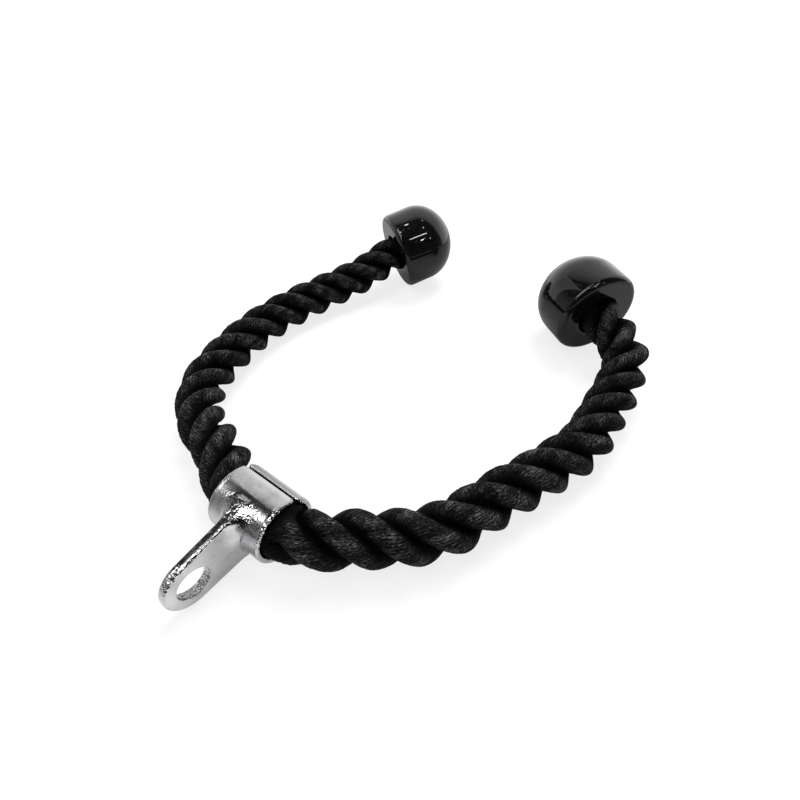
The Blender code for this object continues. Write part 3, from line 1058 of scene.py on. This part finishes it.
@dataclass
class EndCap:
    """A turned plastic cap: a domed end, a straight side and a flat mouth with rounded edges."""

    seat: CapSeat
    origin: Vector
    side_length: float = 0.0225
    length: float = 0.0505
    lip_round: float = 0.0012
    bore_radius: float = 0.0153
    pocket_depth: float = 0.034
    dome_steps: int = 40
    edge_steps: int = 14
    flat_steps: int = 8
    lip_steps: int = 6
    turns: int = 144

    def profile(self) -> list[tuple[float, float]]:
        """Draw the cap's section.

        Returns:
            Its points as radii and heights, from the dome's top down the side and into the bore.
        """
        radius, edge_radius = self.seat.cap_radius, self.seat.edge_radius
        dome_height = self.length - self.side_length
        dome = [
            (radius * math.cos(a), self.side_length + dome_height * math.sin(a))
            for a in np.linspace(QUARTER, 0, self.dome_steps)
        ]
        dome[0] = (0.0, self.length)
        outer, inner = radius - edge_radius, self.bore_radius + self.lip_round
        edge = self.arc((outer, edge_radius), edge_radius, 0, self.edge_steps)
        flat = [(across, 0.0) for across in np.linspace(outer, inner, self.flat_steps)[1:-1]]
        lip = self.arc((inner, self.lip_round), self.lip_round, -QUARTER, self.lip_steps)
        pocket = [(self.bore_radius, self.pocket_depth), (0.0, self.pocket_depth)]
        return dome + edge[1:] + flat + lip + pocket

    @staticmethod
    def arc(
        middle: tuple[float, float], radius: float, start: float, steps: int
    ) -> list[tuple[float, float]]:
        """Return a quarter round that turns down from its start angle."""
        turns = np.linspace(start, start - QUARTER, steps + 1)
        return [(middle[0] + radius * math.cos(a), middle[1] + radius * math.sin(a)) for a in turns]

    def build(self, finish: bpy.types.Material) -> bpy.types.Object:
        """Turn the cap and seat it on its arm.

        Args:
            finish: The moulding's material.

        Returns:
            The cap.
        """
        side = self.seat.side
        shape = bmesh.new()
        corners = [shape.verts.new((radius, 0, height)) for radius, height in self.profile()]
        edges = [shape.edges.new(pair) for pair in zip(corners, corners[1:])]
        bmesh.ops.spin(
            shape,
            geom=corners + edges,
            cent=(0, 0, 0),
            axis=(0, 0, 1),
            angle=math.tau,
            steps=self.turns,
            use_merge=True,
        )
        bmesh.ops.remove_doubles(shape, verts=shape.verts, dist=1e-7)
        bmesh.ops.recalc_face_normals(shape, faces=shape.faces)
        mesh = bpy.data.meshes.new(f"{side.value}_cap_moulding")
        shape.to_mesh(mesh)
        shape.free()
        mesh.transform(Matrix.Translation(self.origin) @ self.seat.turn())
        cap = new_piece(f"{side.value}_cap_moulding", mesh, finish)
        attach(cap, (Body.LEFT_ARM if side is Side.LEFT else Body.RIGHT_ARM).value)
        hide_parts(f"{side.value}_end_cap")
        log.info("%s: %d faces", cap.name, len(mesh.polygons))
        return cap


def joined(first: Points, second: Points, fillet: Union[float, Points]) -> Points:
    """Return the distance to two solids together, with a fillet where they meet."""
    near = np.maximum(fillet - np.abs(first - second), 0) / fillet
    return np.minimum(first, second) - near * near * fillet / 4


def cut(solid: Points, cutter: Points, rounding: float) -> Points:
    """Return the distance to a solid less a cutter, with the cut's edges rounded."""
    return -joined(-solid, cutter, rounding)


def slab(across: Points, half: Union[float, Points]) -> Points:
    """Return the distance to the space between two planes."""
    return np.abs(across) - half


@dataclass(frozen=True)
class Fading:
    """A strength with its most at a place, which loses 1 for each reach of distance from it."""

    most: float
    reach: float

    def at(self, distance: Points) -> Points:
        """Return the strength at distances from the place."""
        return self.most - distance / self.reach


@dataclass
class Forging:
    """The split collar and its lug: one forging, ground, bent round the rope and plated.

    No wheel reached the hollow at the lug's root, the rims, the eye, the lug's edges and a spot on
    its tip, and there it is left rough. The spots are places from the collar's axis, as Y and Z.
    """

    origin: Vector
    bore_radius: float = 0.0153
    wall: float = 0.0029
    half_length: float = 0.0183
    rim_round: float = 0.0012
    bar_half: float = 0.0029
    root_radius: float = 0.0179
    end_radius: float = 0.0147
    eye_distance: float = 0.0433
    eye_radius: float = 0.0085
    eye_round: float = 0.0010
    edge_round: float = 0.0023
    web_fillet: float = 0.0085
    seam_fillet: float = 0.0030
    seam_start: float = 0.002
    seam_fade: float = 0.005
    seam_least: float = 0.01
    slit_half: float = 0.0010
    slit_mouth_half: float = 0.0020
    slit_mouth_length: float = 0.0022
    slit_angle: float = math.radians(130)
    cell: float = 0.00045
    root_spot: tuple[float, float] = (-0.0090, 0.0155)
    root_rough: Fading = Fading(1.3, 0.0055)
    root_middle: float = 0.002
    root_narrow: float = 0.2
    middle_limit: float = 0.45
    side_limit: float = 40
    tip_spot: tuple[float, float] = (-0.0493, 0.0125)
    tip_rough: Fading = Fading(2, 0.0045)
    eye_rough: Fading = Fading(1, 0.0012)
    rim_rough: Fading = Fading(1.3, 0.0022)
    edge_rough: Fading = Fading(2, 0.0009)
    edge_start: float = 0.008
    edge_fade: float = 0.005
    roughest: float = 1.8

    @property
    def radius(self) -> float:
        """The collar's outer radius."""
        return self.bore_radius + self.wall

    @property
    def droop(self) -> float:
        """The angle by which the lug hangs, so that its end rests on the floor."""
        return math.asin((self.radius - self.end_radius) / self.eye_distance)

    def belt(self, reach: Points, z: Points) -> Points:
        """Return the distance to the lug's side view, a belt from the collar round the eye.

        Args:
            reach: Places from the collar's axis towards the eye.
            z: Places above the lug's middle.

        Returns:
            The distance at each place.
        """
        lean = (self.root_radius - self.end_radius) / self.eye_distance
        level = math.sqrt(1 - lean * lean)
        height = np.abs(z)
        along = reach * level - height * lean
        belt = reach * lean + height * level - self.root_radius
        root = np.hypot(height, reach) - self.root_radius
        tip = np.hypot(height, reach - self.eye_distance) - self.end_radius
        return np.where(along < 0, root, np.where(along > level * self.eye_distance, tip, belt))

    def distance(self, places: Points) -> Points:
        """Measure how far places are from the forging's surface.

        Args:
            places: The places in the forging's own axes.

        Returns:
            The distances, less than 0 inside.
        """
        x, y, z = places.T
        around = np.hypot(y, z)
        tube = -joined(self.radius - around, -slab(x, self.half_length), self.rim_round)
        webbed = joined(tube, slab(x, self.bar_half), self.web_fillet)
        away = np.clip((-y - self.seam_start) / self.seam_fade, self.seam_least, 1)
        side_view = joined(self.belt(-y, z), around - self.radius, self.seam_fillet * away)
        solid = np.minimum(tube, -joined(-side_view, -webbed, self.edge_round))
        solid = cut(solid, around - self.bore_radius, self.rim_round)
        eye = np.hypot(y + self.eye_distance, z) - self.eye_radius
        solid = cut(solid, eye, self.eye_round)
        turned = self.slit_angle - QUARTER
        outward = z * math.cos(turned) + y * math.sin(turned)
        across = y * math.cos(turned) - z * math.sin(turned)
        neck = self.half_length - self.slit_mouth_length
        flare = np.clip((np.abs(x) - neck) / self.slit_mouth_length, 0, 1)
        half = self.slit_half + (self.slit_mouth_half - self.slit_half) * flare**2
        slit = np.maximum(slab(across, half), -outward)
        return cut(solid, slit, self.slit_half)

    def rough_places(self, places: Points) -> Points:
        """Find where the forging was left rough.

        Args:
            places: Places on it, in its own axes.

        Returns:
            How rough each place is.
        """
        x, y, z = places.T
        across = np.clip(np.abs(x) - self.root_middle, 0, None)
        root_y, root_z = self.root_spot
        tip_y, tip_z = self.tip_spot
        from_root = np.sqrt((y - root_y) ** 2 + (z - root_z) ** 2 + self.root_narrow * across**2)
        from_eye = np.abs(np.hypot(y + self.eye_distance, z) - self.eye_radius)
        from_edge = np.hypot(self.belt(-y, z), np.abs(x) - self.bar_half)
        on_lug = np.clip((-y - self.edge_start) / self.edge_fade, 0, 1)
        strengths = (
            np.clip(self.root_rough.at(from_root), 0, self.middle_limit + self.side_limit * across),
            self.edge_rough.at(from_edge) * on_lug,
            2 * self.eye_rough.at(from_eye),
            self.rim_rough.at(self.half_length - np.abs(x)),
            self.tip_rough.at(np.hypot(y - tip_y, z - tip_z)),
        )
        return np.clip(np.maximum.reduce(strengths), 0, self.roughest)

    def build(self, finish: bpy.types.Material) -> bpy.types.Object:
        """Mesh the forging, lay it down with its lug's end on the floor and plate it.

        Args:
            finish: The plating's material.

        Returns:
            The forging.
        """
        reach = self.eye_distance + self.end_radius
        margin = 2 * self.cell
        low = (-self.half_length - margin, -reach - margin, -self.radius - margin)
        high = (self.half_length + margin, self.radius + margin, self.radius + margin)
        points, faces = SurfaceNet(self.distance, low, high, self.cell).build()
        mesh = mesh_from("plated_forging", points, faces)
        mark(mesh, "rough", self.rough_places(points))
        middle = Matrix.Translation(self.origin + UP * self.radius)
        mesh.transform(middle @ Matrix.Rotation(self.droop, 4, "X"))
        forging = new_piece("plated_forging", mesh, finish)
        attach(forging, Body.COLLAR.value)
        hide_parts("collar_and_lug")
        log.info("%s: %d faces", forging.name, len(mesh.polygons))
        return forging


@dataclass
class SurfaceNet:
    """A mesh of the surface where a distance is zero, one point in each cell that it crosses."""

    distance: Callable[[Points], Points]
    low: Sequence[float]
    high: Sequence[float]
    cell: float
    rounds: int = 6
    evening: float = 0.6
    nudges_per_cell: int = 50
    least_slope: float = 0.25
    least_shift: float = 1e-12

    def build(self) -> tuple[Points, list[list[int]]]:
        """Mesh the surface.

        Returns:
            Its points and its four-sided faces.
        """
        axes = [np.arange(a, b + self.cell, self.cell) for a, b in zip(self.low, self.high)]
        grid = np.stack(np.meshgrid(*axes, indexing="ij"), -1)
        values = self.distance(grid.reshape(-1, 3)).reshape(grid.shape[:3])
        inside = values < 0
        counted = sum(
            inside[i : i - 1 or None, j : j - 1 or None, k : k - 1 or None].astype(int)
            for i in (0, 1)
            for j in (0, 1)
            for k in (0, 1)
        )
        crossed = (counted > 0) & (counted < 8)
        numbers = np.full(crossed.shape, -1)
        numbers[crossed] = np.arange(crossed.sum())
        corners = np.argwhere(crossed)
        points = np.array(self.low) + (corners + 0.5) * self.cell
        faces = np.vstack([self.faces_across(inside, numbers, axis) for axis in range(3)])
        return self.settled(points, faces), faces.tolist()

    @staticmethod
    def faces_across(inside: Points, numbers: Points, axis: int) -> Points:
        """Make the faces round each grid edge along one axis that the surface crosses.

        Args:
            inside: Whether each grid corner is inside.
            numbers: The number of each cell's point.
            axis: The axis.

        Returns:
            The faces, four points in each row.
        """
        second, third = (axis + 1) % 3, (axis + 2) % 3
        turned = np.moveaxis(inside, (axis, second, third), (0, 1, 2))
        cells = np.moveaxis(numbers, (axis, second, third), (0, 1, 2))
        here, ahead = turned[:-1, 1:-1, 1:-1], turned[1:, 1:-1, 1:-1]
        ring = np.stack(
            (cells[:, :-1, :-1], cells[:, 1:, :-1], cells[:, 1:, 1:], cells[:, :-1, 1:]), -1
        )
        outward = ring[here & ~ahead]
        inward = ring[~here & ahead][:, ::-1]
        return np.vstack((outward, inward))

    def settled(self, points: Points, faces: Points) -> Points:
        """Even out points along the surface and draw them onto it.

        Args:
            points: The points.
            faces: The faces between them.

        Returns:
            The moved points.
        """
        pairs = np.vstack([faces[:, [a, (a + 1) % 4]] for a in range(4)])
        count = np.bincount(pairs.ravel(), minlength=len(points))[:, None]
        for _ in range(self.rounds):
            total = np.zeros_like(points)
            for axis in range(3):
                total[:, axis] = np.bincount(
                    pairs[:, 0], points[pairs[:, 1], axis], len(points)
                ) + np.bincount(pairs[:, 1], points[pairs[:, 0], axis], len(points))
            evened = points * (1 - self.evening) + total / count * self.evening
            points = self.drawn_on(evened)
        return self.drawn_on(self.drawn_on(points))

    def drawn_on(self, points: Points) -> Points:
        """Move points along the distance's slope onto the surface.

        Args:
            points: The points.

        Returns:
            The moved points, each at most a cell away.
        """
        nudge = self.cell / self.nudges_per_cell
        slope = np.stack(
            [
                (self.distance(points + step) - self.distance(points - step)) / (2 * nudge)
                for step in np.eye(3) * nudge
            ],
            1,
        )
        steep = np.maximum((slope**2).sum(1), self.least_slope)[:, None]
        shift = slope * self.distance(points)[:, None] / steep
        size = np.linalg.norm(shift, axis=1)[:, None]
        return points - shift * np.minimum(1, self.cell / np.maximum(size, self.least_shift))


@dataclass(frozen=True)
class Screen:
    """An evenly lit screen. Its brightness is 1 for white, and mirrored says if gloss shows it."""

    name: str
    place: Place
    facing: Place
    wide: float
    high: float
    brightness: float
    mirrored: bool = True

    def hang(self) -> None:
        """Hang the screen in the studio."""
        lamp = bpy.data.lights.new(self.name, "AREA")
        lamp.shape = "RECTANGLE"
        lamp.size, lamp.size_y = self.wide, self.high
        lamp.energy = self.brightness * math.pi * self.wide * self.high
        panel = bpy.data.objects.new(self.name, lamp)
        panel.location = self.place
        panel.rotation_euler = Vector(self.facing).to_track_quat("-Z", "Y").to_euler()
        panel.visible_glossy = self.mirrored
        panel.visible_camera = False
        bpy.context.scene.collection.objects.link(panel)


@dataclass
class Studio:
    """The pale floor, the soft lights and the camera where the photograph was taken.

    The back screen has a soft edge, made of layers that grow by a step on each side. The bare
    lamps, given by their azimuth and height in degrees, show as white dots in the gloss.
    """

    origin: Vector
    camera_place: Place = (0.1367, -0.0636, 0.2229)
    camera_pitch: float = math.radians(44.55)
    camera_heading: float = math.radians(37.03)
    image_side: float = 800.0
    focal_length: float = 467.7
    axis_below_middle: float = 9.24
    sensor_width: float = 36.0
    seen_from: float = 0.01
    seen_to: float = 50.0
    floor_half: float = 12.0
    wall_heights: Stops = ((0.0, 0.42), (0.28, 0.30), (0.48, 0.015), (1.0, 0.015))
    bright_wall: Place = (-0.8, 0.6, 0.0)
    wall_turns: Stops = ((0.2, 0.08), (0.6, 1.0))
    room_grey: Colour = (0.09, 0.09, 0.09, 1)
    white: Colour = (1, 1, 1, 1)
    soft_lights: tuple[Screen, ...] = (
        Screen("key", (-0.20, 1.00, 1.70), (0.10, -0.50, -0.85), 1.0, 1.0, 12.0, mirrored=False),
        Screen("fill", (1.40, -0.20, 1.20), (-0.75, 0.10, -0.65), 0.8, 0.8, 1.2, mirrored=False),
    )
    back_screen: Screen = Screen(
        "back_screen", (0.15, 0.52, 0.36), (0.5, -0.87, 0.0), 1.56, 0.72, 0.95
    )
    screen_layers: int = 6
    screen_step: float = 0.07
    layer_gap: float = 0.01
    gloss_screens: tuple[Screen, ...] = (
        Screen("side", (-0.44, 0.03, 0.33), (0.73, 0.69, 0.0), 0.26, 0.66, 0.70),
        Screen("ceiling", (-0.40, -0.80, 1.39), (0.26, 0.43, -0.87), 0.95, 0.85, 3.2),
        Screen("wall", (-0.97, -0.95, 0.94), (0.62, 0.52, -0.59), 0.68, 0.68, 0.35),
        Screen("tube", (1.10, -0.43, 1.60), (-0.55, 0.28, -0.79), 0.6, 0.05, 30.0),
    )
    spot_power: float = 6.0
    spot_radius: float = 0.06
    spot_distance: float = 3.0
    spot_centre: Place = (0.0, 0.15, 0.03)
    spots: tuple[tuple[float, float], ...] = (
        (-16, 69),
        (72, 78),
        (-178, 80),
        (-150, 70),
        (-125, 74),
        (-130, 62),
        (-105, 68),
        (-90, 76),
        (-80, 66),
        (-101, 31),
        (-26, 37),
        (-6, 33),
    )

    def shoot(self) -> None:
        """Place the camera."""
        lens = bpy.data.cameras.new("camera")
        lens.sensor_width = self.sensor_width
        lens.lens = lens.sensor_width * self.focal_length / self.image_side
        lens.shift_y = self.axis_below_middle / self.image_side
        lens.clip_start, lens.clip_end = self.seen_from, self.seen_to
        camera = bpy.data.objects.new("camera", lens)
        camera.location = Vector(self.camera_place) + self.origin
        camera.rotation_euler = (QUARTER - self.camera_pitch, 0, self.camera_heading)
        bpy.context.scene.collection.objects.link(camera)
        bpy.context.scene.camera = camera

    def lay_floor(self) -> None:
        """Lay the pale floor."""
        half = self.floor_half
        corners = np.array([(-half, -half, 0), (half, -half, 0), (half, half, 0), (-half, half, 0)])
        mesh = mesh_from("studio_floor", corners, [(0, 1, 2, 3)])
        new_piece("studio_floor", mesh, StudioWhite().material())

    def light(self) -> None:
        """Light the object from a dim room with a bright screen behind it."""
        self.paint_room()
        for screen in (*self.soft_lights, *self.back_layers(), *self.gloss_screens):
            screen.hang()
        for number, (azimuth, height) in enumerate(self.spots):
            self.hang_spot(f"spot_{number}", math.radians(azimuth), math.radians(height))

    def paint_room(self) -> None:
        """Paint the world: white to the camera, in gloss a room with low bright walls on the left."""
        world = bpy.data.worlds.new("studio")
        bpy.context.scene.world = world
        world.use_nodes = True
        sheet = Sheet(world.node_tree)
        direction = sheet.add("ShaderNodeTexCoord", {}, {}, output="Generated")
        leftward = sheet.measured("DOT_PRODUCT", direction, self.bright_wall)
        low_walls = sheet.part(direction, "Z").ramp(self.wall_heights)
        walls = low_walls * (leftward * 0.5 + 0.5).ramp(self.wall_turns)
        room = sheet.mixed(sheet.ray("Glossy"), self.room_grey, walls)
        seen = sheet.mixed(sheet.ray("Camera"), room, self.white)
        background = sheet.add("ShaderNodeBackground", {}, {"Color": seen, "Strength": 1.0})
        sheet.finish(background, "ShaderNodeOutputWorld")

    def back_layers(self) -> list[Screen]:
        """Split the back screen into layers, each behind the last and larger.

        Returns:
            The layers, which share its brightness.
        """
        whole = self.back_screen
        x, y, z = whole.place
        layers = []
        for number in range(self.screen_layers):
            edge = self.screen_step * (number - 1)
            gap = self.layer_gap * number
            layers.append(
                Screen(
                    f"{whole.name}_{number}",
                    (x + gap, y + gap, z + edge),
                    whole.facing,
                    whole.wide + 2 * edge,
                    whole.high + 2 * edge,
                    whole.brightness / self.screen_layers,
                )
            )
        return layers

    def hang_spot(self, name: str, turn: float, rise: float) -> None:
        """Hang a small bare lamp.

        Args:
            name: Its name.
            turn: Its azimuth.
            rise: Its height as an angle.
        """
        lamp = bpy.data.lights.new(name, "POINT")
        lamp.energy = self.spot_power
        lamp.shadow_soft_size = self.spot_radius
        bulb = bpy.data.objects.new(name, lamp)
        level = math.cos(rise)
        away = Vector((math.cos(turn) * level, math.sin(turn) * level, math.sin(rise)))
        bulb.location = Vector(self.spot_centre) + away * self.spot_distance
        bpy.context.scene.collection.objects.link(bulb)


@dataclass
class Attachment:
    """The whole rope attachment."""

    seats: dict[Side, CapSeat] = field(
        default_factory=lambda: {
            Side.LEFT: CapSeat(
                Side.LEFT, (-0.1045, 0.2495), math.radians(58), math.radians(14)
            ),
            Side.RIGHT: CapSeat(
                Side.RIGHT, (0.0765, 0.2570), math.radians(148), math.radians(6)
            ),
        }
    )

    def __post_init__(self) -> None:
        """Work out the rope's line, and where the frame has the collar's middle."""
        self.line = RopeLine(self.seats)
        pivot = self.line.spot(self.line.rims[Side.LEFT] - self.line.bend_length / 2)
        hinge = next(j for j in frame["joints"] if j["child"] == Body.LEFT_ARM.value)
        self.origin = Vector(hinge["pos_m"]) - pivot
        self.origin.z = 0.0

    def build(self) -> None:
        """Build and dress every piece."""
        rope = LaidRope(self.line, self.origin)
        yarn = BlackYarn(rope.yarn_width).material()
        moulding = BlackMoulding().material()
        for side, seat in self.seats.items():
            cap = EndCap(seat, self.origin).build(moulding)
            rope.arm(side, yarn)
        Forging(self.origin).build(ChromePlate().material())
        zinc = ZincSteel().material()
        for side in Side:
            ring = frame["nodes"][f"{side.value}_crimp_ring"]
            ring.data.materials.clear()
            ring.data.materials.append(zinc)
            log.info("%s: zinc on %d faces", ring.name, len(ring.data.polygons))


def main() -> None:
    """Build the attachment and the studio round it."""
    bpy.context.scene.view_settings.view_transform = "Standard"
    attachment = Attachment()
    log.info("origin %s", tuple(round(v, 6) for v in attachment.origin))
    studio = Studio(attachment.origin)
    studio.shoot()
    attachment.build()
    studio.lay_floor()
    studio.light()


if __name__ == "__main__":
    main()
